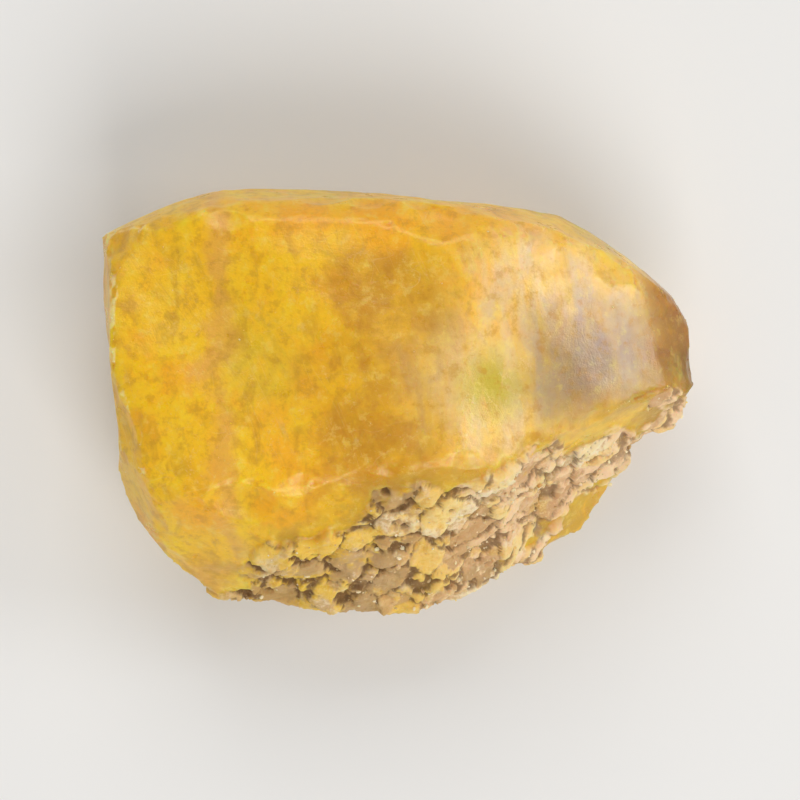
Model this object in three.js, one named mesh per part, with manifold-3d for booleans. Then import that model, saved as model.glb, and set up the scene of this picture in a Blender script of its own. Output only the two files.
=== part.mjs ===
// A raw amber lump: one crushed piece of fossil resin, lying on its flattest fracture.
// Millimetres, +Z up. The origin is on the resting plane, under the middle of the lump's bounding box.
// +X runs along the lump's length towards its thin end, and +Y runs across it towards its steep back.
//
// Resin breaks by conchoidal fracture, so every face is a shallow dish or dome and the faces meet in
// crisp edges. The lump is a rough block from which each fracture takes its share: a broad domed top,
// a glossy face that falls away to the thin end, a steep back, a long slope at the front that carries
// the weathered rind, and undercuts all round that leave a smaller flat patch to rest on.

import * as THREE from "three";
import { mergeVertices } from "three/addons/utils/BufferGeometryUtils.js";
import Module from "manifold-3d";

// Driving dimensions.
const LENGTH = 13.7;
const WIDTH = 9.8;
const HEIGHT = 6.6;

// The rough block is this many times the size of the lump.
const BLOCK_OVERSIZE = 1.5;

// The dish that cuts a fracture: rings out to here at this spacing, then one ring wide of the block.
const DISH_RADIUS = 9.6;
const DISH_RING = 0.8;
const DISH_REACH = 26;
const DISH_DEPTH = 20;
const DISH_SEGMENTS = 44;

// The ball that cuts a flake.
const FLAKE_SEGMENTS = 32;
const FLAKE_RINGS = 20;

// The slow unevenness of the broken faces, none at the resting face and all of it above a little height.
const WAVE_HEIGHT = 0.09;
const WAVE_LENGTH = 5.2;
const WAVE_FULL_ABOVE = 1.6;

// Each fracture passes through "at", a point in half lengths, half widths and heights from the origin.
// Azimuth and tilt are where it looks, in degrees round from +X and down from +Z.
// Bow is the radius it is rounded to, above 0 where it bulges and below 0 where it is hollow.
const FRACTURES = [
  { name: "broad top", at: [-0.5, 0.06, 0.93], azimuth: 180, tilt: 8, bow: 36 },
  { name: "glossy fall", at: [0.5, 0.1, 0.845], azimuth: 357, tilt: 25, bow: 34 },
  { name: "back bevel", at: [-0.2, 0.95, 0.86], azimuth: 89, tilt: 46, bow: 30 },
  { name: "back wall", at: [-0.2, 1.02, 0.48], azimuth: 87, tilt: 86, bow: 26 },
  { name: "back left wall", at: [-0.76, 0.96, 0.5], azimuth: 110, tilt: 84, bow: 18 },
  { name: "back right wall", at: [0.7, 0.71, 0.5], azimuth: 57, tilt: 87, bow: 13 },
  { name: "left wall", at: [-0.97, 0.2, 0.48], azimuth: 183, tilt: 84, bow: -24 },
  { name: "front left bevel", at: [-0.87, -0.63, 0.5], azimuth: 214, tilt: 78, bow: 15 },
  { name: "rind slope", at: [-0.1, -0.78, 0.65], azimuth: 275, tilt: 50, bow: 20 },
  { name: "front right slope", at: [0.545, -0.325, 0.5], azimuth: 307, tilt: 64, bow: -18 },
  { name: "thin end", at: [0.98, 0.1, 0.44], azimuth: 354, tilt: 88, bow: 9 },
  { name: "thin end bevel", at: [0.9, 0.14, 0.6], azimuth: 6, tilt: 50, bow: 26 },
  { name: "front undercut", at: [0.1, -0.86, 0.22], azimuth: 277, tilt: 120, bow: 18 },
  { name: "front left undercut", at: [-0.72, -0.62, 0.16], azimuth: 226, tilt: 120, bow: -16 },
  { name: "left undercut", at: [-0.84, 0.1, 0.16], azimuth: 186, tilt: 114, bow: 24 },
  { name: "back undercut", at: [-0.2, 0.82, 0.14], azimuth: 96, tilt: 118, bow: 26 },
  { name: "back right undercut", at: [0.6, 0.58, 0.16], azimuth: 48, tilt: 124, bow: -20 },
  { name: "thin end undercut", at: [0.74, -0.05, 0.2], azimuth: 352, tilt: 126, bow: 18 },
];

// Flakes are the small shell-shaped scars on the edges. They are placed as the fractures are, and each
// has its own radius and bites this deep.
const FLAKES = [
  { at: [-0.96, 0.76, 0.82], azimuth: 150, tilt: 52, radius: 2.4, depth: 0.35 },
  { at: [-0.96, -0.16, 0.82], azimuth: 188, tilt: 50, radius: 1.9, depth: 0.4 },
  { at: [0.1, 0.86, 0.94], azimuth: 84, tilt: 38, radius: 3.4, depth: 0.3 },
  { at: [-0.82, -0.74, 0.38], azimuth: 228, tilt: 92, radius: 2.0, depth: 0.5 },
  { at: [0.42, 0.86, 0.26], azimuth: 72, tilt: 104, radius: 2.8, depth: 0.5 },
  { at: [0.86, -0.2, 0.3], azimuth: 330, tilt: 108, radius: 2.2, depth: 0.5 },
];

const wasm = await Module();
wasm.setup();

// A closed three.js geometry as a solid that can be joined and cut.
function solidOf(geometry) {
  const bare = geometry.clone();
  bare.deleteAttribute("normal");
  bare.deleteAttribute("uv");
  const merged = mergeVertices(bare, 1e-4);
  return new wasm.Manifold(
    new wasm.Mesh({
      numProp: 3,
      vertProperties: new Float32Array(merged.attributes.position.array),
      triVerts: new Uint32Array(merged.index.array),
    }),
  );
}

// A solid as a three.js geometry.
function geometryOf(solid) {
  const mesh = solid.getMesh();
  return new THREE.BufferGeometry()
    .setAttribute("position", new THREE.BufferAttribute(mesh.vertProperties, 3))
    .setIndex(new THREE.BufferAttribute(mesh.triVerts, 1));
}

function pointOf([alongLength, alongWidth, alongHeight]) {
  return new THREE.Vector3((alongLength * LENGTH) / 2, (alongWidth * WIDTH) / 2, alongHeight * HEIGHT);
}

function directionOf(azimuth, tilt) {
  const around = THREE.MathUtils.degToRad(azimuth);
  const down = THREE.MathUtils.degToRad(tilt);
  return new THREE.Vector3(
    Math.sin(down) * Math.cos(around),
    Math.sin(down) * Math.sin(around),
    Math.cos(down),
  );
}

// What a fracture takes: everything above a dish or dome that is turned about its own outward axis.
function fractureCutter({ at, azimuth, tilt, bow }) {
  const profile = [];
  for (let radius = 0; radius <= DISH_RADIUS; radius += DISH_RING) {
    profile.push(new THREE.Vector2(radius, -(radius * radius) / (2 * bow)));
  }
  profile.push(new THREE.Vector2(DISH_REACH, -(DISH_RADIUS * DISH_REACH) / (2 * bow)));
  profile.push(new THREE.Vector2(DISH_REACH, DISH_DEPTH));
  profile.push(new THREE.Vector2(0, DISH_DEPTH));
  const point = pointOf(at);
  const turn = new THREE.Quaternion().setFromUnitVectors(
    new THREE.Vector3(0, 1, 0),
    directionOf(azimuth, tilt),
  );
  const dish = new THREE.LatheGeometry(profile, DISH_SEGMENTS)
    .applyQuaternion(turn)
    .translate(point.x, point.y, point.z);
  return solidOf(dish);
}

// What a flake takes: the edge of a ball that stands outside the lump.
function flakeCutter({ at, azimuth, tilt, radius, depth }) {
  const centre = pointOf(at).addScaledVector(directionOf(azimuth, tilt), radius - depth);
  const ball = new THREE.SphereGeometry(radius, FLAKE_SEGMENTS, FLAKE_RINGS);
  return solidOf(ball.translate(centre.x, centre.y, centre.z));
}

// Moves each point of the lump by the slow unevenness.
function uneven(geometry) {
  const turns = (2 * Math.PI) / WAVE_LENGTH;
  const position = geometry.attributes.position;
  const point = new THREE.Vector3();
  for (let i = 0; i < position.count; i += 1) {
    point.fromBufferAttribute(position, i);
    const { x, y, z } = point;
    const height = WAVE_HEIGHT * THREE.MathUtils.smoothstep(z, 0, WAVE_FULL_ABOVE);
    point.x += height * Math.sin(turns * (y + 0.6 * z));
    point.y += height * Math.sin(turns * (z + 0.7 * x) + 1);
    point.z += height * Math.sin(turns * (x + 0.8 * y) + 2);
    position.setXYZ(i, point.x, point.y, point.z);
  }
  return geometry;
}

// Brings the lump to its driving dimensions, standing on the resting plane over the origin.
function fitted(geometry) {
  geometry.computeBoundingBox();
  const box = geometry.boundingBox;
  const size = box.getSize(new THREE.Vector3());
  const middle = box.getCenter(new THREE.Vector3());
  return geometry
    .translate(-middle.x, -middle.y, -box.min.z)
    .scale(LENGTH / size.x, WIDTH / size.y, HEIGHT / size.z);
}

function amberPiece() {
  const block = new THREE.BoxGeometry(
    LENGTH * BLOCK_OVERSIZE,
    WIDTH * BLOCK_OVERSIZE,
    HEIGHT * BLOCK_OVERSIZE,
  ).translate(0, 0, (HEIGHT * BLOCK_OVERSIZE) / 2);
  let lump = solidOf(block);
  for (const fracture of FRACTURES) {
    lump = lump.subtract(fractureCutter(fracture));
  }
  for (const flake of FLAKES) {
    lump = lump.subtract(flakeCutter(flake));
  }
  const geometry = fitted(uneven(geometryOf(lump)));
  geometry.computeVertexNormals();
  const amber = new THREE.MeshStandardMaterial({ color: 0xe1af30, roughness: 0.3, metalness: 0 });
  const piece = new THREE.Mesh(geometry, amber);
  piece.name = "amber_piece";
  return piece;
}

const group = new THREE.Group();
group.name = "raw_amber_piece";
group.add(amberPiece());

export default group;
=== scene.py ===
"""A lump of raw amber over its CAD solid: broken faces, a weathered rind and what the resin holds."""

import math
import random

import bmesh
import bpy
import numpy as np
from bpy.props import FloatProperty, FloatVectorProperty, IntProperty, PointerProperty
from mathutils import Matrix, Vector, noise


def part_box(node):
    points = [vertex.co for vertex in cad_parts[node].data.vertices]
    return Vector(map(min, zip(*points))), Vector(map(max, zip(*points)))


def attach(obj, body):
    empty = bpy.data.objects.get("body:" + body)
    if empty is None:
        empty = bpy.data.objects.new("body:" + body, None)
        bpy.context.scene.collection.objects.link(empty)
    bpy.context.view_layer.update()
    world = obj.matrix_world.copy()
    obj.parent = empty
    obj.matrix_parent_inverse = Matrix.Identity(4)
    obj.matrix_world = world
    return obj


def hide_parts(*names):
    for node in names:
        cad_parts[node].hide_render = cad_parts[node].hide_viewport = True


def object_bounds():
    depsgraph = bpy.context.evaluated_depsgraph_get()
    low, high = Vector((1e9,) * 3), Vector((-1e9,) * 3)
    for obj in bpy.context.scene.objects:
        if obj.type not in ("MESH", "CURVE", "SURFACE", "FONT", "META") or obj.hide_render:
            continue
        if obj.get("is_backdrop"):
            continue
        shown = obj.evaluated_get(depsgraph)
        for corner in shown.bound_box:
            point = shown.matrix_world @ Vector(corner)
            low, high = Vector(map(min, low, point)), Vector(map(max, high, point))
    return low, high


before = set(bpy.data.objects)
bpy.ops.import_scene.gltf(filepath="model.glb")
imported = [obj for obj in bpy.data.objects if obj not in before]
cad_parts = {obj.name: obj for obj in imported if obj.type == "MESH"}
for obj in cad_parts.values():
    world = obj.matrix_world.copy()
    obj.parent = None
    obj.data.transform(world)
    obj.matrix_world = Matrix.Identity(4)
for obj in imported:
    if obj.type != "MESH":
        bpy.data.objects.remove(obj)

bl_info = {
    "name": "Raw Amber Lump",
    "version": (1, 0, 0),
    "blender": (4, 5, 0),
    "location": "3D View > Sidebar > Amber",
    "description": "Dresses a broken lump of cloudy yolk-yellow amber over its CAD solid",
    "category": "Object",
}

MM = 0.001
BODY = "root"
SOLID = "amber_piece"

# The CAD box, before anything is made, and the lump's own box in millimetres.
CAD_LOW, CAD_HIGH = (Vector(corner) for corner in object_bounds())
LOW, HIGH = (np.array(corner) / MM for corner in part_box(SOLID))
MIDDLE = (LOW + HIGH) / 2
HALF = (HIGH - LOW) / 2


def direction(azimuth, tilt):
    """The way a face looks, in degrees round from +X and down from +Z."""
    around, down = math.radians(azimuth), math.radians(tilt)
    return np.array(
        [math.sin(down) * math.cos(around), math.sin(down) * math.sin(around), math.cos(down)]
    )


def in_lump(along_length, along_width, along_height):
    """A point given in half lengths and half widths from the middle and in heights from the bottom."""
    half_place = np.array([along_length, along_width, 2 * along_height - 1])
    return MIDDLE + HALF * half_place


# ---------------------------------------------------------------- settings


class AmberShape(bpy.types.PropertyGroup):
    """Sizes of the lump's surface."""

    skin_grain: FloatProperty(
        name="Skin Grain",
        description="Side of the small quads that the skin is made of",
        default=0.0705 * MM,
        unit="LENGTH",
    )
    swell_height: FloatProperty(
        name="Swell Height",
        description="Height of the slow rise and fall of the broken faces",
        default=0.035 * MM,
        unit="LENGTH",
    )
    rib_height: FloatProperty(
        name="Rib Height",
        description="Height of the ribs that spread from where each face was struck",
        default=0.008 * MM,
        unit="LENGTH",
    )
    scar_count: IntProperty(
        name="Scars", description="Number of small flake scars along the edges", default=240
    )
    rind_height: FloatProperty(
        name="Rind Height",
        description="Height of the rind's lumps",
        default=0.125 * MM,
        unit="LENGTH",
    )
    rind_grain: FloatProperty(
        name="Rind Grain",
        description="Width of one large grain of the rind",
        default=0.95 * MM,
        unit="LENGTH",
    )
    rind_pit: FloatProperty(
        name="Rind Pit",
        description="Depth of the pits in the rind",
        default=0.17 * MM,
        unit="LENGTH",
    )
    cloud_depth: FloatProperty(
        name="Cloud Depth",
        description="Least depth of the milky clouds under the surface",
        default=0.34 * MM,
        unit="LENGTH",
    )
    bubble_count: IntProperty(
        name="Bubbles", description="Number of bubbles sealed in the resin", default=90
    )
    bubble_size: FloatProperty(
        name="Bubble Size",
        description="Radius of the largest bubble",
        default=0.11 * MM,
        unit="LENGTH",
    )
    fleck_count: IntProperty(
        name="Bark Flecks", description="Number of bark flecks sealed in the resin", default=34
    )
    fleck_size: FloatProperty(
        name="Fleck Size",
        description="Length of the largest bark fleck",
        default=0.5 * MM,
        unit="LENGTH",
    )
    crumb_count: IntProperty(
        name="Crumbs", description="Number of loose grains stuck to the rind", default=260
    )
    crumb_size: FloatProperty(
        name="Crumb Size",
        description="Radius of the largest crumb",
        default=0.1 * MM,
        unit="LENGTH",
    )
    dust_count: IntProperty(
        name="Dust", description="Number of specks of crushed resin on the faces", default=260
    )
    dust_size: FloatProperty(
        name="Dust Size",
        description="Radius of the largest speck of crushed resin",
        default=0.035 * MM,
        unit="LENGTH",
    )


class AmberColours(bpy.types.PropertyGroup):
    """Colours of the resin, its rind and its powder."""

    yolk: FloatVectorProperty(
        name="Yolk", description="The cloudy resin", default=(0.96, 0.585, 0.004), subtype="COLOR"
    )
    pale_yolk: FloatVectorProperty(
        name="Pale Yolk",
        description="The milkier resin between the flow bands",
        default=(0.97, 0.645, 0.012),
        subtype="COLOR",
    )
    # Also painted shade: deep yolk darkens the middle seam beside the ridge.
    deep_yolk: FloatVectorProperty(
        name="Deep Yolk",
        description="The darker flow bands",
        default=(0.58, 0.27, 0.003),
        subtype="COLOR",
    )
    # Partly painted glow: this orange also brightens the back edge, in three spots.
    sunny_and_glow: FloatVectorProperty(
        name="Sunny",
        description="The oranger patches in the resin",
        default=(0.98, 0.46, 0.006),
        subtype="COLOR",
    )
    peach: FloatVectorProperty(
        name="Peach",
        description="The pinker seam near the left end",
        default=(0.82, 0.44, 0.07),
        subtype="COLOR",
    )
    lemon: FloatVectorProperty(
        name="Lemon",
        description="The greenish spots in the resin",
        default=(0.63, 0.49, 0.045),
        subtype="COLOR",
    )
    olive: FloatVectorProperty(
        name="Olive",
        description="The stained resin along the rind",
        default=(0.58, 0.36, 0.025),
        subtype="COLOR",
    )
    milk: FloatVectorProperty(
        name="Milk",
        description="The fine white bubbles that cloud the resin",
        default=(0.985, 0.8, 0.2),
        subtype="COLOR",
    )
    # Partly painted sheen: this lilac-grey also stands in for the sky's reflection on the glossy face.
    smoky_and_sheen: FloatVectorProperty(
        name="Smoky",
        description="The greyer resin under the glossy face",
        default=(0.41, 0.245, 0.178),
        subtype="COLOR",
    )
    # Partly painted sheen: this cream also stands in for the softbox's reflection on the glossy face.
    bloom_and_sheen: FloatVectorProperty(
        name="Bloom",
        description="The pale haze under the glossy face",
        default=(0.84, 0.68, 0.43),
        subtype="COLOR",
    )
    # Partly painted shade: this brown also darkens the steep right face, which turns away from the
    # light.
    honey_and_shade: FloatVectorProperty(
        name="Honey",
        description="The browner resin at the thin end",
        default=(0.32, 0.11, 0.005),
        subtype="COLOR",
    )
    # Painted glow: this orange stands in for light shining through the clearer resin, over what little
    # cloud is left there.
    glow: FloatVectorProperty(
        name="Glow",
        description="What little cloud there is in the clearer resin",
        default=(0.99, 0.54, 0.012),
        subtype="COLOR",
    )
    clear: FloatVectorProperty(
        name="Clear Resin",
        description="What a thin layer of clear resin lets through",
        default=(0.985, 0.86, 0.1),
        subtype="COLOR",
    )
    # Partly painted highlight: this pale powder also stands in for the light caught along the worn
    # edges.
    powder_and_highlight: FloatVectorProperty(
        name="Powder",
        description="Crushed resin on the chipped edges",
        default=(0.95, 0.76, 0.38),
        subtype="COLOR",
    )
    rind_tan: FloatVectorProperty(
        name="Rind Tan",
        description="The body of the rind",
        default=(0.66, 0.42, 0.18),
        subtype="COLOR",
    )
    rind_cream: FloatVectorProperty(
        name="Rind Cream",
        description="The dry tops of the rind's grains",
        default=(0.98, 0.79, 0.5),
        subtype="COLOR",
    )
    rind_pink: FloatVectorProperty(
        name="Rind Pink",
        description="The warm stains in the rind",
        default=(0.96, 0.56, 0.29),
        subtype="COLOR",
    )
    # Also painted shade: this brown darkens the bottoms of the rind's pits and cracks.
    rind_brown: FloatVectorProperty(
        name="Rind Brown",
        description="The bottoms of the rind's pits and cracks",
        default=(0.2, 0.095, 0.025),
        subtype="COLOR",
    )
    bark: FloatVectorProperty(
        name="Bark",
        description="The bark flecks sealed in the resin",
        default=(0.12, 0.05, 0.015),
        subtype="COLOR",
    )


class AmberStage(bpy.types.PropertyGroup):
    """The floor, the lights and the camera."""

    floor: FloatVectorProperty(
        name="Floor", description="The floor", default=(0.8, 0.79, 0.77), subtype="COLOR"
    )
    key: FloatProperty(
        name="Key",
        description="Brightness of the main softbox, where a white floor is about 1",
        default=4.8,
    )
    sheen: FloatProperty(
        name="Sheen",
        description="Brightness of the softbox that the glossy face mirrors upwards",
        default=7.5,
    )
    fill: FloatProperty(
        name="Fill", description="Brightness of the softbox behind the lump", default=3.0
    )
    sky: FloatProperty(
        name="Sky", description="Brightness of the even light from all round", default=0.34
    )
    lens: FloatProperty(
        name="Lens", description="Focal length in millimetres", default=300.0
    )
    share: FloatProperty(
        name="Share",
        description="How much of the picture's width the lump takes",
        default=0.74,
        subtype="FACTOR",
    )


# ---------------------------------------------------------------- finishes


class Wire:
    """A socket that can stand in a sum, which adds the Math nodes for it."""

    def __init__(self, finish, socket):
        self.finish = finish
        self.socket = socket

    def __add__(self, other):
        return self.finish.maths("ADD", self, other)

    def __radd__(self, other):
        return self.finish.maths("ADD", other, self)

    def __sub__(self, other):
        return self.finish.maths("SUBTRACT", self, other)

    def __rsub__(self, other):
        return self.finish.maths("SUBTRACT", other, self)

    def __mul__(self, other):
        return self.finish.maths("MULTIPLY", self, other)

    def __rmul__(self, other):
        return self.finish.maths("MULTIPLY", other, self)

    def __abs__(self):
        return self.finish.maths("ABSOLUTE", self, 0.0)


class Finish:
    """One material and the nodes that make it."""

    def __init__(self, name):
        self.material = bpy.data.materials.new(name)
        self.material.use_nodes = True
        self.tree = self.material.node_tree
        self.tree.nodes.clear()

    def node(self, kind, settings=None, sockets=None, out=0):
        """Adds a node, sets its settings, then fills its sockets with values or links."""
        made = self.tree.nodes.new(kind)
        for name, value in (settings or {}).items():
            setattr(made, name, value)
        for name, value in (sockets or {}).items():
            if isinstance(value, Wire):
                self.tree.links.new(value.socket, made.inputs[name])
            else:
                made.inputs[name].default_value = value
        return Wire(self, made.outputs[out]) if made.outputs else None

    def maths(self, operation, first, second):
        return self.node("ShaderNodeMath", {"operation": operation}, {0: first, 1: second})

    def place(self):
        """Object coordinates in millimetres."""
        metres = self.node("ShaderNodeTexCoord", out="Object")
        return self.node(
            "ShaderNodeVectorMath", {"operation": "SCALE"}, {0: metres, "Scale": 1 / MM}
        )

    def part(self, vector, axis):
        """One coordinate of a vector."""
        return self.node("ShaderNodeSeparateXYZ", None, {0: vector}, out=axis)

    def turned(self, vector, turn, stretch):
        """A vector as seen from axes turned by degrees and stretched."""
        settings = {"vector_type": "TEXTURE"}
        sockets = {
            "Vector": vector,
            "Rotation": tuple(math.radians(angle) for angle in turn),
            "Scale": stretch,
        }
        return self.node("ShaderNodeMapping", settings, sockets)

    def noise(self, vector, per_mm, detail=4.0, roughness=0.55, distortion=0.0):
        """Soft noise about 0.5, with this many lumps in a millimetre."""
        sockets = {
            "Vector": vector,
            "Scale": per_mm,
            "Detail": detail,
            "Roughness": roughness,
            "Distortion": distortion,
        }
        return self.node("ShaderNodeTexNoise", None, sockets, out=0)

    def band_noise(self, length, per_mm, detail=2.0):
        """Noise along one length only."""
        sockets = {"W": length, "Scale": per_mm, "Detail": detail}
        return self.node("ShaderNodeTexNoise", {"noise_dimensions": "1D"}, sockets, out=0)

    def cells(self, vector, per_mm, feature="F1"):
        """The distance to the middle of the nearest cell, where cells lie at random."""
        sockets = {"Vector": vector, "Scale": per_mm}
        return self.node("ShaderNodeTexVoronoi", {"feature": feature}, sockets, out="Distance")

    def hairs(self, vector, turn, per_mm, width):
        """1 along thin, nearly straight lines in one direction, and 0 between them."""
        drawn = self.noise(self.turned(vector, turn, (1.0, 16.0, 1.0)), per_mm, detail=1.0)
        return 1 - self.step(abs(drawn - 0.5), 0.0, width)

    def near(self, vector, point, inner, outer):
        """1 closer than inner to a point, 0 farther than outer."""
        sockets = {0: vector, 1: tuple(point)}
        gap = self.node("ShaderNodeVectorMath", {"operation": "DISTANCE"}, sockets, out="Value")
        return 1 - self.step(gap, inner, outer)

    def step(self, value, low, high):
        """0 below low, 1 above high and smooth between."""
        sockets = {"Value": value, "From Min": low, "From Max": high}
        return self.node("ShaderNodeMapRange", {"interpolation_type": "SMOOTHSTEP"}, sockets)

    def mix(self, first, second, share):
        """Two colours, with share of the second."""
        sockets = {0: share, 6: colour(first), 7: colour(second)}
        return self.node("ShaderNodeMix", {"data_type": "RGBA"}, sockets, out=2)

    def between(self, first, second, share):
        """Two places, with share of the second."""
        sockets = {0: share, 4: tuple(first), 5: tuple(second)}
        return self.node("ShaderNodeMix", {"data_type": "VECTOR"}, sockets, out=1)

    def attribute(self, name):
        """A value that the skin holds for each point."""
        return self.node("ShaderNodeAttribute", {"attribute_name": name}, None, out="Fac")

    def bump(self, height, distance, strength, under=None):
        """A normal bent by a height, over another bent normal if there is one."""
        sockets = {"Height": height, "Distance": distance, "Strength": strength}
        if under is not None:
            sockets["Normal"] = under
        return self.node("ShaderNodeBump", None, sockets)

    def principled(self, sockets):
        return self.node("ShaderNodeBsdfPrincipled", None, sockets)

    def blend(self, first, second, share):
        """Two shaders, with share of the second."""
        return self.node("ShaderNodeMixShader", None, {0: share, 1: first, 2: second})

    def done(self, surface, volume=None):
        """Ends the nodes with these shaders, and gives the material."""
        sockets = {"Surface": surface}
        if volume is not None:
            sockets["Volume"] = volume
        self.node("ShaderNodeOutputMaterial", None, sockets)
        return self.material


def colour(value):
    """A colour of three numbers as the four that a node wants. Links pass through."""
    if isinstance(value, Wire):
        return value
    return (*value[:3], 1.0)


AMBER_IOR = 1.54
RIND_IOR = 1.45

# Lines of hackle in one radian round the strike.
HACKLE_LINES = 42.0

# How far red, green and blue light wander in the cloudy resin, as shares of the depth in metres.
RESIN_SCATTER = (1.0, 0.45, 0.07)
RESIN_SCATTER_DEPTH = 1.0 * MM

# What clear resin takes from light on its way through, per metre.
CLEAR_DENSITY = 380.0

# Where the seams lie across the length, where the middle one, which is also painted shade along the
# ridge, ends towards the back, and where the honey-brown thin end, darkened with painted shade, begins
# and is full, all in millimetres.
LEFT_SEAM = -4.2
MIDDLE_SEAM_AND_SHADE = -0.2
MIDDLE_SEAM_AND_SHADE_ENDS = (3.1, 3.8)
THIN_END = (5.1, 6.4)

# Where the rind begins to be paler and is palest, along the length in millimetres.
RIND_PALES = (-2.0, 4.0)

# Spots of another tint in the resin: colour, place, radius in millimetres and strength. The three
# orange spots along the back edge are painted glow, standing in for light shining through that edge.
TINTED_SPOTS = [
    ("lemon", in_lump(0.3, 0.06, 0.93), 1.2, 1.0),
    ("lemon", in_lump(-0.45, 0.15, 0.94), 1.6, 0.35),
    ("sunny_and_glow", in_lump(-0.67, -0.49, 0.8), 1.0, 0.8),
    ("sunny_and_glow", in_lump(-0.34, 0.9, 0.9), 1.3, 0.6),
    ("sunny_and_glow", in_lump(-0.05, 0.86, 0.92), 1.3, 0.9),
    ("sunny_and_glow", in_lump(0.17, 0.86, 0.9), 1.2, 0.8),
    ("olive", in_lump(0.62, -0.64, 0.2), 2.3, 0.9),
]

# The grey pool under the glossy face, partly painted lilac-grey sheen: its middle, and how far it is
# whole and reaches in millimetres.
SMOKY_SHEEN_MIDDLE = in_lump(0.64, 0.18, 0.8)
SMOKY_SHEEN_REACH = (0.6, 2.4)


def cloudy_colour(made, place, colours, glossy, fringe):
    """The cloudy resin's colour: flow bands across the length, bent by swirls, with two seams, and
    painted shade, sheen and glow in places.
    """
    swirl = made.noise(place, 0.3, detail=2.0)
    curl = made.noise(place, 1.0, detail=4.0, roughness=0.6)
    across = made.part(place, 0) + (swirl - 0.5) * 4.0 + (curl - 0.5) * 1.4
    bands = made.band_noise(across, 0.9, detail=3.0)
    flow = made.turned(place, (0.0, 15.0, 14.0), (1.0, 2.1, 1.4))
    mottle = made.noise(flow, 2.1, detail=5.0, roughness=0.6, distortion=0.9)
    left_seam = 1 - made.step(abs(across - LEFT_SEAM), 0.05, 0.5)
    # The middle seam is partly a darker flow band and partly painted shade on the face beside the
    # ridge.
    middle_seam_and_shade = 1 - made.step(abs(across - MIDDLE_SEAM_AND_SHADE), 0.5, 2.1)
    middle_seam_and_shade = middle_seam_and_shade * (1 - made.step(made.part(place, 1), *MIDDLE_SEAM_AND_SHADE_ENDS))

    milkier = made.step(bands + (mottle - 0.5) * 0.9, 0.44, 0.68)
    body = made.mix(colours.yolk, colours.pale_yolk, milkier)
    body = made.mix(body, colours.sunny_and_glow, made.step(swirl * 0.5 + curl * 0.5, 0.5, 0.6) * 0.6)
    body = made.mix(body, colours.deep_yolk, made.step(mottle, 0.45, 0.72) * 0.62)
    body = made.mix(body, colours.peach, left_seam * made.step(curl, 0.3, 0.5) * 0.75)
    body = made.mix(body, colours.deep_yolk, middle_seam_and_shade * (made.step(curl, 0.28, 0.62) * 0.5 + 0.25))

    # Under the glossy face: wisps of pale haze across the length, with a greyer pool behind them; both
    # also paint in the cream and lilac-grey sheen that the face mirrors.
    drawn_out = made.turned(place, (0.0, 0.0, 6.0), (0.6, 3.4, 1.0))
    wisps = made.noise(drawn_out, 1.3, detail=4.0, distortion=0.5)
    haze_and_sheen = made.step(wisps + (mottle - 0.5) * 0.4, 0.3, 0.62) * 0.48 + 0.26
    body = made.mix(body, colours.bloom_and_sheen, glossy * haze_and_sheen)
    # The greyer pool is partly painted: its lilac-grey stands in for the reflection on the glossy face.
    thick = made.step(wisps + (curl - 0.5) * 1.1, 0.15, 0.65) * 0.55 + 0.5
    smoke_and_sheen = made.near(place, SMOKY_SHEEN_MIDDLE, *SMOKY_SHEEN_REACH) * thick
    body = made.mix(body, colours.smoky_and_sheen, smoke_and_sheen * glossy * 0.8)
    for tint, point, radius, strength in TINTED_SPOTS:
        spot = made.near(place, point, 0.15 * radius, radius) * made.step(mottle, 0.2, 0.5)
        body = made.mix(body, getattr(colours, tint), spot * strength)
    # The thin end is browner resin, darkened further with painted shade on its steep right face.
    thin_end_shade = made.step(made.part(place, 0) + (curl - 0.5), *THIN_END)
    body = made.mix(body, colours.honey_and_shade, thin_end_shade * 0.97)
    return made.mix(body, colours.olive, fringe * made.step(curl, 0.35, 0.6) * 0.7)


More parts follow.
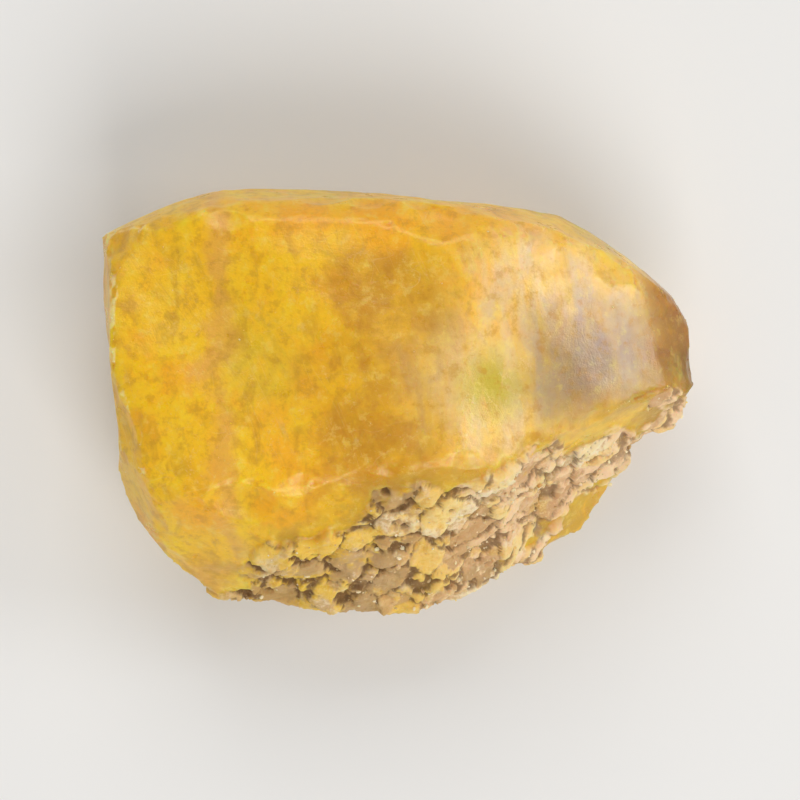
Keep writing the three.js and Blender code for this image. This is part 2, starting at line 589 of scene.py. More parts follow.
def amber_finish(colours):
    """Cloudy resin with clearer spots, a rind where the skin says so, and powder with a painted
    highlight on its worn edges.
    """
    made = Finish("amber")
    place = made.place()
    rind = made.attribute("rind")
    wear_and_highlight = made.attribute("wear_and_highlight")
    hollow = made.attribute("hollow")
    window = made.attribute("window")
    glossy = made.attribute("glossy")

    # The hackle: fine lines that spread from where the two top faces were struck.
    strike = made.between(STRIKES[TOP_STRIKE][0], STRIKES[GLOSSY_STRIKE][0], glossy)
    spread = made.node("ShaderNodeVectorMath", {"operation": "SUBTRACT"}, {0: place, 1: strike})
    angle = made.maths("ARCTAN2", made.part(spread, 1), made.part(spread, 0))
    reach = made.node("ShaderNodeVectorMath", {"operation": "LENGTH"}, {0: spread}, out="Value")
    polar = made.node("ShaderNodeCombineXYZ", None, {0: angle * HACKLE_LINES, 1: reach * 0.3})
    hackle = made.noise(polar, 1.0, detail=4.0, roughness=0.65)

    patches = made.noise(place, 1.1, detail=4.0, roughness=0.6)
    grain = made.noise(place, 7.0, detail=6.0, roughness=0.7)
    sugar = made.noise(place, 24.0, detail=3.0, roughness=0.6)
    pocks = 1 - made.step(made.cells(place, 2.6), 0.02, 0.08)
    hairs = made.hairs(place, (0.0, 0.0, 24.0), 1.3, 0.005)
    hairs = made.maths("MAXIMUM", hairs, made.hairs(place, (35.0, 20.0, -58.0), 1.1, 0.004))
    hairs = hairs * made.step(patches, 0.42, 0.58)

    satin = made.bump(patches, 0.05 * MM, 0.5)
    satin = made.bump(hackle * made.step(patches, 0.35, 0.6), 0.016 * MM, 0.6, satin)
    satin = made.bump(grain, 0.014 * MM, 0.7, satin)
    satin = made.bump(sugar - hairs * 0.5 - pocks, 0.008 * MM, 0.6, satin)

    dusty = made.step(sugar + (grain - 0.5) + (patches - 0.5) * 0.5, 0.6, 0.85)
    # Powder on the worn edges, which also paints a pale highlight along them, strongest on the left
    # rim.
    powder_and_highlight = made.step(wear_and_highlight + (grain - 0.5) * 0.9, 0.25, 1.0)
    body = cloudy_colour(made, place, colours, glossy, made.attribute("fringe"))
    flecks = made.noise(place, 2.9, detail=5.0, roughness=0.68)
    body = made.mix(body, colours.deep_yolk, made.step(flecks, 0.5, 0.66) * 0.48)
    body = made.mix(body, colours.milk, (1 - made.step(flecks, 0.33, 0.46)) * 0.3)
    body = made.mix(body, colours.deep_yolk, made.step(grain, 0.45, 0.75) * 0.24)
    # Painted glow: the clearer spots get a brighter orange body, standing in for light shining through
    # them.
    body = made.mix(body, colours.glow, window * 0.6 - glossy * 0.2)
    crushed_and_highlight = powder_and_highlight * 0.7 + dusty * 0.16 + hairs * 0.12 + pocks * 0.2
    body = made.mix(body, colours.powder_and_highlight, crushed_and_highlight)
    gloss = 0.31 - glossy * 0.1 + (patches - 0.5) * 0.3 + dusty * 0.12 + powder_and_highlight * 0.3

    clear_resin = made.principled(
        {
            "Base Color": (1.0, 1.0, 1.0, 1.0),
            "Roughness": gloss * 0.6,
            "IOR": AMBER_IOR,
            "Transmission Weight": 1.0,
            "Normal": satin,
        }
    )
    cloudy_resin = made.principled(
        {
            "Base Color": body,
            "Roughness": gloss,
            "IOR": AMBER_IOR,
            "Subsurface Weight": 1.0,
            "Subsurface Radius": RESIN_SCATTER,
            "Subsurface Scale": RESIN_SCATTER_DEPTH,
            "Normal": satin,
        }
    )
    cloud = 0.95 - window + powder_and_highlight * 0.3
    resin = made.blend(clear_resin, cloudy_resin, cloud)

    # The rind: each grain has a shade of its own, paler to the right and more stained to the left.
    specks = made.noise(place, 6.0, detail=6.0, roughness=0.7)
    grains = 1 - made.cells(place, 5.0, "SMOOTH_F1")
    stains = made.noise(place, 0.7, detail=3.0)
    crumb = made.attribute("crumb")
    to_right = made.step(made.part(place, 0), *RIND_PALES)
    paleness = crumb * 0.7 + (specks - 0.5) * 1.2 + to_right * 0.3 + (stains - 0.5) * 0.5
    crust = made.mix(colours.rind_tan, colours.rind_cream, made.step(paleness, 0.3, 0.66))
    crust = made.mix(crust, colours.rind_pink, made.step(stains + to_right * 0.12, 0.5, 0.62) * 0.55)
    stained = (1 - to_right) * made.step(stains, 0.4, 0.6)
    crust = made.mix(crust, colours.olive, stained * 0.45)
    yellow = made.step(patches + (crumb - 0.5) * 0.3 - to_right * 0.06, 0.44, 0.58)
    crust = made.mix(crust, colours.yolk, yellow * (0.66 - to_right * 0.34))
    crust = made.mix(crust, colours.rind_brown, (1 - made.step(crumb, 0.2, 0.45)) * 0.25)
    # Painted shade: the rind's pits and cracks are darkened, less so towards the right.
    hollow_shade = made.step(hollow + (specks - 0.5), 0.37, 0.95) * (0.95 - to_right * 0.25)
    crust = made.mix(crust, colours.rind_brown, hollow_shade)
    grime = made.step(sugar + (specks - 0.5) * 1.4, 0.64, 0.9)
    crust = made.mix(crust, colours.rind_brown, grime * 0.15)
    crust = made.mix(crust, colours.powder_and_highlight, dusty * 0.5)
    crust_bump = made.bump(grains, 0.05 * MM, 0.4)
    crust_bump = made.bump(specks, 0.09 * MM, 0.75, crust_bump)
    crust_bump = made.bump(sugar, 0.008 * MM, 0.5, crust_bump)
    dry_rind = made.principled(
        {
            "Base Color": crust,
            "Roughness": 0.6 + (specks - 0.5) * 0.6,
            "IOR": RIND_IOR,
            "Subsurface Weight": 0.4,
            "Subsurface Radius": (1.0, 0.6, 0.25),
            "Subsurface Scale": 0.25 * MM,
            "Normal": crust_bump,
        }
    )
    surface = made.blend(resin, dry_rind, rind)
    absorbed = {"Color": colour(colours.clear), "Density": CLEAR_DENSITY}
    return made.done(surface, made.node("ShaderNodeVolumeAbsorption", None, absorbed))


def cloud_finish(colours):
    """The milky clouds deep in the resin."""
    made = Finish("milky_cloud")
    place = made.place()
    wisps = made.noise(place, 1.6, detail=5.0, roughness=0.65)
    thinner = made.step(wisps, 0.4, 0.7) * 0.5
    sockets = {
        "Base Color": made.mix(colours.milk, colours.pale_yolk, thinner),
        "Roughness": 0.6 + (wisps - 0.5) * 0.4,
        "IOR": 1.05,
        "Subsurface Weight": 1.0,
        "Subsurface Radius": (1.0, 0.5, 0.08),
        "Subsurface Scale": 1.0 * MM,
    }
    return made.done(made.principled(sockets))


# The palest glint of a bubble's skin.
BUBBLE_GLINT = (1.0, 0.95, 0.8)


def bubble_finish(colours):
    """The silvery skin of a bubble seen through resin."""
    made = Finish("sealed_bubble")
    place = made.place()
    shine = made.noise(place, 9.0, detail=2.0)
    sockets = {
        "Base Color": made.mix(BUBBLE_GLINT, colours.pale_yolk, shine),
        "Metallic": 0.85,
        "Roughness": 0.1 + shine * 0.15,
    }
    return made.done(made.principled(sockets))


# The colour of the bark's dry fibres, and how they lie: their turn in degrees, and their stretch.
DRY_FIBRE = (0.4, 0.2, 0.06)
FIBRE_LIE = ((20.0, 35.0, 10.0), (1.0, 5.0, 1.0))


def bark_finish(colours):
    """Dark brown rotted bark."""
    made = Finish("bark_fleck")
    place = made.place()
    fibres = made.noise(made.turned(place, *FIBRE_LIE), 14.0, detail=4.0)
    dry = made.step(fibres, 0.45, 0.75)
    sockets = {
        "Base Color": made.mix(colours.bark, DRY_FIBRE, dry),
        "Roughness": 0.7 + (fibres - 0.5) * 0.4,
        "Normal": made.bump(fibres, 0.03 * MM, 0.6),
    }
    return made.done(made.principled(sockets))


def crumb_finish(colours):
    """Loose grains of rind, each a little different."""
    made = Finish("rind_crumb")
    place = made.place()
    kind = made.noise(place, 2.3, detail=1.0)
    specks = made.noise(place, 12.0, detail=4.0, roughness=0.7)
    body = made.mix(colours.rind_tan, colours.rind_cream, made.step(kind, 0.4, 0.6))
    body = made.mix(body, colours.rind_brown, made.step(specks, 0.5, 0.8) * 0.7)
    sockets = {
        "Base Color": body,
        "Roughness": 0.65 + (specks - 0.5) * 0.5,
        "Subsurface Weight": 0.4,
        "Subsurface Radius": (1.0, 0.55, 0.2),
        "Subsurface Scale": 0.15 * MM,
        "Normal": made.bump(specks, 0.03 * MM, 0.7),
    }
    return made.done(made.principled(sockets))


def dust_finish(colours):
    """Specks of crushed resin, from pale powder to small yellow chips."""
    made = Finish("resin_dust")
    place = made.place()
    kind = made.noise(place, 3.1, detail=2.0)
    sockets = {
        "Base Color": made.mix(colours.powder_and_highlight, colours.pale_yolk, made.step(kind, 0.42, 0.6)),
        "Roughness": 0.45 + (kind - 0.5) * 0.6,
        "IOR": AMBER_IOR,
        "Subsurface Weight": 0.8,
        "Subsurface Radius": (1.0, 0.6, 0.2),
        "Subsurface Scale": 0.15 * MM,
    }
    return made.done(made.principled(sockets))


def floor_finish(floor_colour):
    """A plain pale matt floor."""
    made = Finish("pale_floor")
    return made.done(made.principled({"Base Color": colour(floor_colour), "Roughness": 0.85}))


# ---------------------------------------------------------------- the skin


def smoothstep(value, low, high):
    """0 below low, 1 above high and smooth between."""
    share = np.clip((value - low) / (high - low), 0.0, 1.0)
    return share * share * (3 - 2 * share)


def soft_noise(points, size, seed, octaves=1):
    """A random value at each point, about -1 to 1, in lumps of about this size."""
    shift = Vector((seed * 31.7, seed * -17.9, seed * 7.3))
    scaled = points / size
    if octaves == 1:
        return np.array([noise.noise(Vector(point) + shift) for point in scaled])
    return np.array([noise.fractal(Vector(point) + shift, 0.9, 2.1, octaves) for point in scaled])


# Turns the middle of a grain into four numbers of its own.
GRAIN_HASH = np.array(
    [[12.99, 78.23, 37.72, 9.15], [39.35, 11.14, 83.16, 51.49], [73.16, 52.24, 9.15, 31.32]]
)
GRAIN_HASH_SPREAD = 4375.85


def packed_grains(points, size, seed):
    """Packed angular grains: each point's distance from a border, its grain's shade and slant."""
    shift = Vector((seed * 13.1, seed * 5.9, seed * -23.7))
    found = [noise.voronoi(Vector(point) + shift) for point in points / size]
    border = np.array([distances[1] - distances[0] for distances, _ in found])
    middle = np.array([middles[0] for _, middles in found])
    own = np.modf(np.abs(np.sin(middle @ GRAIN_HASH)) * GRAIN_HASH_SPREAD)[0]
    slant = ((own[:, 1:] - 0.5) * (points / size + np.array(shift) - middle)).sum(axis=1)
    return border, own[:, 0], slant


class Skin:
    """The lump's surface as arrays of points and normals, in millimetres."""

    def __init__(self, mesh):
        self.mesh = mesh
        self.points = np.empty((len(mesh.vertices), 3))
        mesh.vertices.foreach_get("co", self.points.ravel())
        self.edges = np.empty((len(mesh.edges), 2), dtype=np.int32)
        mesh.edges.foreach_get("vertices", self.edges.ravel())
        self.read_normals()

    def read_normals(self):
        """Takes the normals from the mesh."""
        self.normals = np.empty((len(self.points), 3))
        self.mesh.vertex_normals.foreach_get("vector", self.normals.ravel())

    def write(self):
        """Puts the moved points in the mesh."""
        self.mesh.vertices.foreach_set("co", self.points.ravel())
        self.mesh.update()
        self.read_normals()

    def averaged(self, values, times):
        """Each point's values evened out with its neighbours', a number of times."""
        first, second = self.edges.T
        count = len(self.points)
        shared = np.bincount(self.edges.ravel(), minlength=count)
        values = values.reshape(count, -1)
        for _ in range(times):
            total = [
                np.bincount(first, column[second], count)
                + np.bincount(second, column[first], count)
                for column in values.T
            ]
            values = np.stack(total, axis=1) / shared[:, None]
        return values.squeeze()

    def sharpness(self, times):
        """How far each point stands out of the evened surface, below 0 in a hollow."""
        return ((self.points - self.averaged(self.points, times)) * self.normals).sum(axis=1)

    def scoop(self, centre, radius, long_way, stretch):
        """Pushes every point inside an egg shape, stretched along one direction, out to its surface."""
        along = long_way / np.linalg.norm(long_way)
        away = self.points - centre
        away -= np.outer(away @ along * (1 - 1 / stretch), along)
        distance = np.linalg.norm(away, axis=1)
        inside = distance < radius
        away = away[inside] * (radius / distance[inside])[:, None]
        self.points[inside] = centre + away + np.outer(away @ along * (stretch - 1), along)

    def keep(self, name, values):
        """Stores a value for each point, for the finish to read."""
        stored = self.mesh.attributes.new(name, "FLOAT", "POINT")
        stored.data.foreach_set("value", np.clip(values, 0.0, 1.0).astype(np.float32))


def even_skin(name, node, grain):
    """A copy of a CAD node in millimetres, remeshed to small even quads."""
    rough = bmesh.new()
    rough.from_mesh(node.data)
    bmesh.ops.remove_doubles(rough, verts=rough.verts, dist=0.0005 * MM)
    bmesh.ops.scale(rough, vec=(1 / MM,) * 3, verts=rough.verts)
    mesh = bpy.data.meshes.new(name)
    rough.to_mesh(mesh)
    rough.free()
    lump = bpy.data.objects.new(name, mesh)
    bpy.context.collection.objects.link(lump)
    remesh = lump.modifiers.new("even", "REMESH")
    remesh.mode = "VOXEL"
    remesh.voxel_size = grain / MM
    shown = lump.evaluated_get(bpy.context.evaluated_depsgraph_get())
    lump.data = bpy.data.meshes.new_from_object(shown)
    lump.modifiers.clear()
    bpy.data.meshes.remove(mesh)
    return lump


# Where each broken face was struck, the way that face looks, and its ribs' spacing in millimetres.
STRIKES = [
    (in_lump(-1.0, 0.9, 0.9), direction(180, 8), 0.85),
    (in_lump(0.2, 1.0, 0.9), direction(357, 25), 0.62),
    (in_lump(-0.9, 1.0, 0.2), direction(87, 86), 0.7),
    (in_lump(-1.0, -0.8, 0.7), direction(184, 85), 0.6),
    (in_lump(1.0, -0.4, 0.7), direction(54, 78), 0.5),
    (in_lump(0.9, 0.0, 0.1), direction(352, 126), 0.55),
    (in_lump(-0.6, -0.9, 0.0), direction(270, 120), 0.65),
]
TOP_STRIKE = 0
GLOSSY_STRIKE = 1

# How far the ribs wander from true circles, and how far off they have died away, in millimetres.
RIB_WANDER = 0.35
RIB_FADE = 7.0


def ribs(skin, facing, height):
    """Ribs round each strike, on the face that the strike broke, dying away with distance."""
    rise = np.zeros(len(skin.points))
    wander = RIB_WANDER * soft_noise(skin.points, 2.6, 11)
    for strike, look, spacing in STRIKES:
        distance = np.linalg.norm(skin.points - strike, axis=1) + wander
        own_face = smoothstep(facing @ look, 0.86, 0.95)
        fade = np.exp(-distance / RIB_FADE)
        rise += own_face * fade * np.sin(2 * math.pi * distance / spacing)
    return rise * height


# How many times the skin is evened to find its edges, how far in millimetres an edge stands out of the
# evened skin, and how far above the resting face the scars begin.
EDGE_EVENING = 17
EDGE_STANDS_OUT = 0.03
SCARS_ABOVE = 0.3


def scars(skin, count):
    """Small flakes struck off the edges, largest first. Returns how far each point has moved."""
    chance = random.Random(41)
    sharp = skin.sharpness(EDGE_EVENING)
    looks = skin.averaged(skin.normals, EDGE_EVENING)
    high = skin.points[:, 2] > LOW[2] + SCARS_ABOVE
    on_edge = np.flatnonzero((sharp > EDGE_STANDS_OUT) & high)
    before = skin.points.copy()
    for number in range(count):
        at = chance.choice(on_edge)
        size = (1.0 - number / count) ** 1.6 * 0.85 + 0.15
        radius = chance.uniform(0.7, 2.4) * size
        depth = chance.uniform(0.05, 0.12) * size
        look = looks[at] + np.array([chance.uniform(-0.35, 0.35) for _ in range(3)])
        look /= np.linalg.norm(look)
        long_way = np.cross(look, [chance.gauss(0.0, 1.0) for _ in range(3)])
        centre = before[at] + look * (radius - depth)
        skin.scoop(centre, radius, long_way, chance.uniform(1.0, 1.6))
    return np.linalg.norm(skin.points - before, axis=1)


def rind_share(points):
    """Where the rind is: the front, from an uneven line on its slope down to part of the undercut.

    Also returns the strip of stained resin along that line.
    """
    length, width, height = ((points - MIDDLE) / HALF).T
    line = -0.44 + 0.44 * length - 0.36 * np.maximum(-length, 0.0) ** 1.5
    ragged = 0.13 * soft_noise(points, 1.2, 3, 3) + 0.06 * soft_noise(points, 0.4, 4, 2)
    front = smoothstep(line + ragged - width, 0.0, 0.035)
    below = smoothstep(height + 0.55 + 2.5 * ragged, -0.06, 0.06)
    return front * below, smoothstep(line + ragged - width, -0.2, 0.0)


# The rind's small grains, as a share of the large ones' width and of their height.
SMALL_GRAIN = 0.42
SMALL_GRAIN_HEIGHT = 0.4


def rind_relief(points, shape):
    """The rind's lumps, packed grains, cracks and pits, large ones and small ones between them.

    Returns how far each point rises, its grain's shade and how far it is in a hollow.
    """
    lumps = soft_noise(points, 1.3, 5, 5)
    bent = points + 0.16 * soft_noise(points, 0.5, 14, 3)[:, None]
    grain = shape.rind_grain / MM
    gap, shade, slant = packed_grains(bent, grain, 6)
    small_gap, small_shade, small_slant = packed_grains(bent, grain * SMALL_GRAIN, 13)
    cracks = 1 - smoothstep(gap, 0.0, 0.13)
    small_cracks = 1 - smoothstep(small_gap, 0.0, 0.3)
    pits = smoothstep(soft_noise(points, 0.5, 8, 3), 0.25, 0.55)
    height = shape.rind_height / MM
    rise = height * (1.3 * lumps + 1.1 * (shade - 0.5) + 1.2 * slant - 0.7 * cracks)
    small_rise = small_shade - 0.5 + 1.2 * small_slant - 0.6 * small_cracks
    rise += SMALL_GRAIN_HEIGHT * shape.rind_height / MM * small_rise
    rise -= shape.rind_pit / MM * pits
    hollow = np.maximum(pits, cracks * 0.8) + 0.3 * small_cracks
    return rise, 0.6 * shade + 0.4 * small_shade, hollow


# Where the resin is clearer: the middle, the radius in millimetres, and the share that is clear there.
CLEAR_SPOTS = [
    (in_lump(0.6, 0.15, 0.8), 2.4, 0.3),
    (in_lump(1.0, 0.1, 0.45), 2.3, 0.6),
    (in_lump(0.62, 0.85, 0.4), 2.6, 0.4),
    (in_lump(-1.0, -0.1, 0.35), 1.9, 0.3),
    (in_lump(-0.35, -0.8, 0.12), 2.2, 0.35),
    (in_lump(-0.3, 1.0, 0.3), 2.2, 0.3),
]


def windows(points):
    """How clear the resin is under each point."""
    swirls = np.stack([soft_noise(points, 1.3, 12 + axis, 3) for axis in range(3)], axis=1)
    bent = points + 0.9 * swirls
    cloudy = np.ones(len(points))
    for middle, radius, clearness in CLEAR_SPOTS:
        reach = np.linalg.norm(bent - middle, axis=1) / radius
        cloudy *= 1 - clearness * (1 - smoothstep(reach, 0.2, 1.0))
    return 1 - cloudy


# How many times the skin's values are evened: to find which face a point is on, to find its worn
# edges, and to soften the border of the glossy face.
FACE_EVENING = 10
WEAR_EVENING = 7
GLOSSY_EVENING = 110

# The height of the fine grit on the broken faces, the depth of the nibbles in their edges, and how far
# the rind stands above the resin, in millimetres.
GRIT_HEIGHT = 0.006
NIBBLE_DEPTH = 0.15
RIND_STANDS_OUT = 0.09


def carve(lump, shape):
    """Gives the even skin its relief, and stores what the finish reads."""
    skin = Skin(lump.data)
    skin.points = skin.averaged(skin.points, 1)
    skin.write()
    facing = skin.averaged(skin.normals, FACE_EVENING)
    fresh_scar = scars(skin, shape.scar_count)
    skin.write()
    edge = smoothstep(skin.sharpness(WEAR_EVENING), 0.009, 0.035)

    points = skin.points.copy()
    rind, fringe = rind_share(points)
    crusted = rind > 0
    crust, crumb, hollow = np.zeros((3, len(points)))
    crust[crusted], crumb[crusted], hollow[crusted] = rind_relief(points[crusted], shape)
    swell = soft_noise(points, 3.1, 1, 3) * shape.swell_height / MM
    grit = GRIT_HEIGHT * soft_noise(points, 0.4, 2, 4)
    nibble = edge * np.maximum(soft_noise(points, 0.3, 9, 2) + 0.1, 0.0) * NIBBLE_DEPTH
    broken = swell + grit + ribs(skin, facing, shape.rib_height / MM) - nibble
    rise = broken * (1 - rind) + (crust + RIND_STANDS_OUT) * rind
    off_floor = smoothstep(points[:, 2], LOW[2] + 0.02, LOW[2] + 0.5)
    skin.points = points + skin.normals * (rise * off_floor)[:, None]
    skin.points[:, 2] = np.maximum(skin.points[:, 2], LOW[2])
    skin.write()

    patchy = smoothstep(soft_noise(points, 0.6, 10, 3), -0.25, 0.3)
    length, width, _ = ((points - MIDDLE) / HALF).T
    # The left rim gets more, as a painted pale highlight along it.
    left_rim = smoothstep(-length, 0.82, 0.92)
    worn_and_highlight = edge * (0.55 + 1.05 * left_rim) + 0.2 * smoothstep(fresh_scar, 0.01, 0.06)
    # The back corner counts as glossy, so that the painted cream sheen reaches over it too.
    back_corner = smoothstep(facing[:, 2], 0.5, 0.7) * smoothstep(length, 0.24, 0.36)
    back_corner *= smoothstep(width, 0.3, 0.6)
    glossy = np.maximum(smoothstep(facing @ STRIKES[GLOSSY_STRIKE][1], 0.905, 0.95), back_corner)
    skin.keep("rind", rind)
    skin.keep("fringe", fringe)
    skin.keep("crumb", crumb)
    skin.keep("hollow", hollow)
    skin.keep("wear_and_highlight", patchy * worn_and_highlight)
    skin.keep("glossy", skin.averaged(glossy, GLOSSY_EVENING))
    skin.keep("window", windows(points) * (1 - rind))


# ---------------------------------------------------------------- what the resin holds


def inside_depth(lump, point):
    """How deep a point is in the lump, below 0 outside, with the nearest surface point and normal."""
    _, near, normal, _ = lump.closest_point_on_mesh(point)
    gap = point - near
    return (-gap.length if gap.dot(normal) > 0 else gap.length), near, normal


def spots(lump, name, least):
    """The places and normals of the skin's points where a stored value is at least this."""
    stored = lump.data.attributes[name].data
    vertices = lump.data.vertices
    return [
        (vertices[item].co.copy(), vertices[item].normal.copy())
        for item in range(len(vertices))
        if stored[item].value >= least
    ]


def random_turn(chance):
    """A random turn in space."""
    axis = Vector([chance.gauss(0, 1) for _ in range(3)]).normalized()
    return Matrix.Rotation(chance.uniform(0, 2 * math.pi), 4, axis)


def piece(name, form, finish, smooth=True):
    """A finished bmesh as an object that rides on the lump's body."""
    for face in form.faces:
        face.smooth = smooth
    mesh = bpy.data.meshes.new(name)
    form.to_mesh(mesh)
    form.free()
    mesh.materials.append(finish)
    made = bpy.data.objects.new(name, mesh)
    bpy.context.collection.objects.link(made)
    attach(made, BODY)
    return made


# The milky clouds: middle in half lengths, half widths and heights, and radii in millimetres.
CLOUDS = [
    (in_lump(-0.52, 0.16, 0.5), (3.1, 3.9, 2.6)),
    (in_lump(-0.08, -0.14, 0.52), (2.6, 3.9, 2.9)),
    (in_lump(0.36, 0.2, 0.45), (2.5, 3.7, 2.6)),
    (in_lump(0.7, 0.02, 0.42), (1.8, 2.6, 1.7)),
    (in_lump(-0.3, -0.45, 0.3), (3.2, 2.1, 1.8)),
]


# How uneven a cloud is, as a share of its radius, and how many times it is pressed in and smoothed.
CLOUD_SWELL = 0.3
CLOUD_SMOOTHINGS = 3


def hold_under(lump, form, middle, depth):
    """Presses in every point of a form that comes nearer to the lump's surface than this."""
    for vert in form.verts:
        deep, near, normal = inside_depth(lump, vert.co)
        if deep < depth:
            vert.co = near - normal * depth
        while inside_depth(lump, vert.co)[0] < 0.8 * depth:
            vert.co = vert.co.lerp(middle, 0.08)


def milky_cloud(lump, number, depth, finish):
    """One cloud of fine bubbles: a ball with an uneven skin, held under the lump's surface."""
    middle, radii = CLOUDS[number]
    middle = Vector(middle) * MM
    form = bmesh.new()
    bmesh.ops.create_icosphere(form, subdivisions=5, radius=1.0)
    for vert in form.verts:
        seed = Vector((number * 7.7, 0, 0))
        swell = 1.0 + CLOUD_SWELL * noise.fractal(vert.co * 1.6 + seed, 0.9, 2.1, 4)
        grown = [side * radius * swell * MM for side, radius in zip(vert.co, radii)]
        vert.co = Vector(grown) + middle
    axes = {"use_axis_x": True, "use_axis_y": True, "use_axis_z": True}
    for _ in range(CLOUD_SMOOTHINGS):
        hold_under(lump, form, middle, depth)
        bmesh.ops.smooth_vert(form, verts=form.verts, factor=0.5, **axes)
    hold_under(lump, form, middle, depth)
    return piece(f"milky_cloud_{number + 1}", form, finish)


# The least clear resin that holds bubbles and bark flecks, and how far above the resting face both
# begin, in millimetres. Crumbs and dust begin lower.
BUBBLE_CLEARNESS = 0.2
FLECK_CLEARNESS = 0.25
BUBBLES_ABOVE = 0.6
FLECKS_ABOVE = 0.8
CRUMBS_ABOVE = 0.5


def sealed_bubbles(lump, shape, finish):
    """Bubbles close under the clear windows."""
    chance = random.Random(5)
    clear = spots(lump, "window", BUBBLE_CLEARNESS)
    form = bmesh.new()
    for _ in range(shape.bubble_count):
        place, normal = chance.choice(clear)
        radius = shape.bubble_size * chance.uniform(0.15, 1.0) ** 2
        deep = radius + chance.uniform(0.04, 0.3) * MM
        if place.z < (LOW[2] + BUBBLES_ABOVE) * MM:
            continue
        bmesh.ops.create_icosphere(
            form, subdivisions=2, radius=radius, matrix=Matrix.Translation(place - normal * deep)
        )
    return piece("sealed_bubbles", form, finish)


def bark_flecks(lump, shape, finish):
    """Shards of rotted bark under the clear windows."""
    chance = random.Random(23)
    clear = spots(lump, "window", FLECK_CLEARNESS)
    form = bmesh.new()
    for _ in range(shape.fleck_count):
        place, normal = chance.choice(clear)
        half = shape.fleck_size * 0.5 * chance.uniform(0.2, 1.0) ** 1.5
        if place.z < (LOW[2] + FLECKS_ABOVE) * MM:
            continue
        shard = bmesh.ops.create_icosphere(form, subdivisions=2, radius=1.0)["verts"]
        for vert in shard:
            vert.co *= 1.0 + 0.35 * noise.noise(vert.co * 2.3 + place / MM)
        flat = Matrix.Diagonal((half, half * 0.35, half * 0.12, 1.0))
        centre = Matrix.Translation(place - normal * (half * 0.6 + 0.08 * MM))
        bmesh.ops.transform(form, matrix=centre @ random_turn(chance) @ flat, verts=shard)
    return piece("bark_flecks", form, finish)


def grain_at(form, place, normal, radius, chance):
    """Adds an angular grain, half sunk in the surface."""
    grain = bmesh.ops.create_icosphere(form, subdivisions=1, radius=1.0)["verts"]
    for vert in grain:
        vert.co *= chance.uniform(0.6, 1.15)
    width = radius * chance.uniform(0.5, 1.0)
    squash = Matrix.Diagonal((radius, width, radius * chance.uniform(0.4, 0.8), 1.0))
    centre = Matrix.Translation(place + normal * radius * 0.1)
    bmesh.ops.transform(form, matrix=centre @ random_turn(chance) @ squash, verts=grain)


def rind_crumbs(lump, shape, finish):
    """Loose grains stuck on the rind."""
    chance = random.Random(17)
    crust = spots(lump, "rind", 0.8)
    form = bmesh.new()
    for _ in range(shape.crumb_count):
        place, normal = chance.choice(crust)
        radius = shape.crumb_size * (0.3 + 0.7 * chance.random() ** 2.5)
        if place.z > (LOW[2] + CRUMBS_ABOVE) * MM:
            grain_at(form, place, normal, radius, chance)
    return piece("rind_crumbs", form, finish, smooth=False)


def resin_dust(lump, shape, finish):
    """Specks of crushed resin, most of them along the worn edges."""
    chance = random.Random(29)
    worn_and_highlight = spots(lump, "wear_and_highlight", 0.35)
    anywhere = spots(lump, "wear_and_highlight", 0.0)
    form = bmesh.new()
    for number in range(shape.dust_count):
        place, normal = chance.choice(worn_and_highlight if number % 3 else anywhere)
        radius = shape.dust_size * (0.35 + 0.65 * chance.random() ** 2)
        if place.z > (LOW[2] + CRUMBS_ABOVE) * MM:
            grain_at(form, place, normal, radius, chance)
    return piece("resin_dust", form, finish, smooth=False)


# ---------------------------------------------------------------- operators


class AMBER_OT_lump(bpy.types.Operator):
    """Make the lump over its CAD solid, with its relief and finish"""

    bl_idname = "amber.lump"
    bl_label = "Lump"

    def execute(self, context):
        shape = context.scene.amber_shape
        lump = even_skin("amber_lump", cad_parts[SOLID], shape.skin_grain)
        carve(lump, shape)
        lump.data.transform(Matrix.Scale(MM, 4))
        lump.data.shade_smooth()
        lump.data.materials.clear()
        lump.data.materials.append(amber_finish(context.scene.amber_colours))
        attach(lump, BODY)
        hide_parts(SOLID)
        return {"FINISHED"}


class AMBER_OT_clouds(bpy.types.Operator):
    """Make the milky clouds deep in the resin"""

    bl_idname = "amber.clouds"
    bl_label = "Milky Clouds"

    def execute(self, context):
        lump = bpy.data.objects["amber_lump"]
        finish = cloud_finish(context.scene.amber_colours)
        for number in range(len(CLOUDS)):
            milky_cloud(lump, number, context.scene.amber_shape.cloud_depth, finish)
        return {"FINISHED"}


class AMBER_OT_sealed(bpy.types.Operator):
    """Make the bubbles and bark flecks sealed under the clear windows"""

    bl_idname = "amber.sealed"
    bl_label = "Bubbles and Bark"

    def execute(self, context):
        lump = bpy.data.objects["amber_lump"]
        shape, colours = context.scene.amber_shape, context.scene.amber_colours
        sealed_bubbles(lump, shape, bubble_finish(colours))
        bark_flecks(lump, shape, bark_finish(colours))
        return {"FINISHED"}


class AMBER_OT_crumbs(bpy.types.Operator):
    """Make the loose grains on the rind and the dust on the faces"""

    bl_idname = "amber.crumbs"
    bl_label = "Crumbs and Dust"

    def execute(self, context):
        lump = bpy.data.objects["amber_lump"]
        shape, colours = context.scene.amber_shape, context.scene.amber_colours
        rind_crumbs(lump, shape, crumb_finish(colours))
        resin_dust(lump, shape, dust_finish(colours))
        return {"FINISHED"}


# The softboxes: name, azimuth and elevation in degrees, width and height as shares of their distance,
# and tint.
SOFTBOXES = [
    ("key", -70, 50, (0.6, 0.6), (1.0, 0.98, 0.95)),
    ("sheen", 6, 25, (0.34, 0.36), (0.93, 0.96, 1.0)),
    ("fill", 98, 45, (0.6, 0.6), (0.98, 0.99, 1.0)),
]
SKY_TINT = (0.97, 0.98, 1.0)

# In lengths of the lump: how far off the softboxes stand, and from the floor's middle to its sides.
SOFTBOX_DISTANCE = 25
FLOOR_REACH = 60


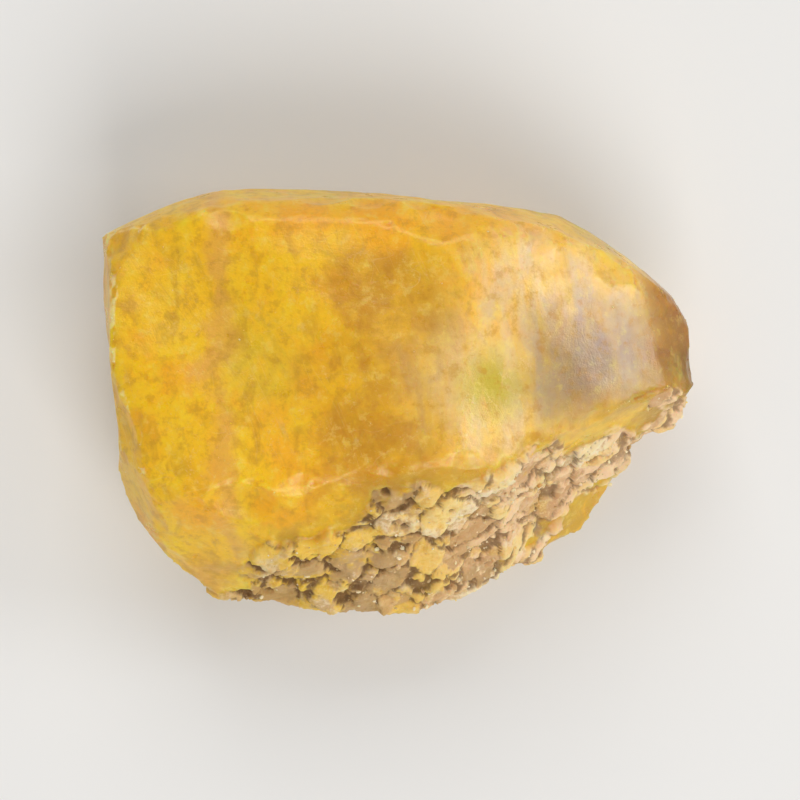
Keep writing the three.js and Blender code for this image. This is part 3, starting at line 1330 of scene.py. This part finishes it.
def softbox(name, target, azimuth, elevation, distance, size, radiance, tint):
    """A light of even brightness, aimed at a point from a direction in degrees."""
    light = bpy.data.lights.new(name, "AREA")
    light.shape = "RECTANGLE"
    light.size, light.size_y = (side * distance for side in size)
    light.energy = radiance * math.pi * light.size * light.size_y
    light.color = tint
    lamp = bpy.data.objects.new(name, light)
    back = Vector(direction(azimuth, 90 - elevation))
    lamp.location = target + back * distance
    lamp.rotation_euler = (-back).to_track_quat("-Z", "Y").to_euler()
    bpy.context.collection.objects.link(lamp)
    return lamp


class AMBER_OT_stage(bpy.types.Operator):
    """Make the floor, the lights and the camera"""

    bl_idname = "amber.stage"
    bl_label = "Stage"

    def execute(self, context):
        stage = context.scene.amber_stage
        centre = (CAD_LOW + CAD_HIGH) / 2
        size = CAD_HIGH - CAD_LOW

        sheet = bmesh.new()
        bmesh.ops.create_grid(sheet, x_segments=1, y_segments=1, size=FLOOR_REACH * size.x)
        mesh = bpy.data.meshes.new("floor")
        sheet.to_mesh(mesh)
        sheet.free()
        floor = bpy.data.objects.new("floor", mesh)
        context.collection.objects.link(floor)
        mesh.materials.append(floor_finish(stage.floor))
        floor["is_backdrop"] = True

        away = SOFTBOX_DISTANCE * size.x
        for name, azimuth, elevation, sides, tint in SOFTBOXES:
            radiance = getattr(stage, name)
            softbox(name, centre, azimuth, elevation, away, sides, radiance, tint)

        world = bpy.data.worlds.new("studio")
        world.use_nodes = True
        even_light = world.node_tree.nodes["Background"].inputs
        even_light["Color"].default_value = colour(SKY_TINT)
        even_light["Strength"].default_value = stage.sky
        context.scene.world = world

        camera = bpy.data.objects.new("camera", bpy.data.cameras.new("camera"))
        camera.data.lens = stage.lens
        picture = size.x / stage.share
        reach = picture * camera.data.lens / camera.data.sensor_width
        camera.location = centre + Vector((0, 0, reach))
        camera.data.clip_start = 0.1 * reach
        camera.data.clip_end = 20 * reach
        context.collection.objects.link(camera)
        context.scene.camera = camera
        context.scene.view_settings.view_transform = "Standard"
        return {"FINISHED"}


class AMBER_PT_lump(bpy.types.Panel):
    """The amber lump's steps, in order"""

    bl_label = "Raw Amber"
    bl_space_type = "VIEW_3D"
    bl_region_type = "UI"
    bl_category = "Amber"

    def draw(self, context):
        for operator in OPERATORS:
            self.layout.operator(operator.bl_idname)


OPERATORS = (AMBER_OT_lump, AMBER_OT_clouds, AMBER_OT_sealed, AMBER_OT_crumbs, AMBER_OT_stage)
SETTINGS = {"amber_shape": AmberShape, "amber_colours": AmberColours, "amber_stage": AmberStage}


def register():
    """Adds the settings, the operators and the panel."""
    for group in SETTINGS.values():
        bpy.utils.register_class(group)
    for name, group in SETTINGS.items():
        setattr(bpy.types.Scene, name, PointerProperty(type=group))
    for operator in OPERATORS:
        bpy.utils.register_class(operator)
    bpy.utils.register_class(AMBER_PT_lump)


def unregister():
    """Takes them away again."""
    bpy.utils.unregister_class(AMBER_PT_lump)
    for operator in reversed(OPERATORS):
        bpy.utils.unregister_class(operator)
    for name, group in SETTINGS.items():
        delattr(bpy.types.Scene, name)
        bpy.utils.unregister_class(group)


def main():
    """Makes every piece and the stage."""
    register()
    bpy.ops.amber.lump()
    bpy.ops.amber.clouds()
    bpy.ops.amber.sealed()
    bpy.ops.amber.crumbs()
    bpy.ops.amber.stage()


if __name__ == "__main__":
    main()
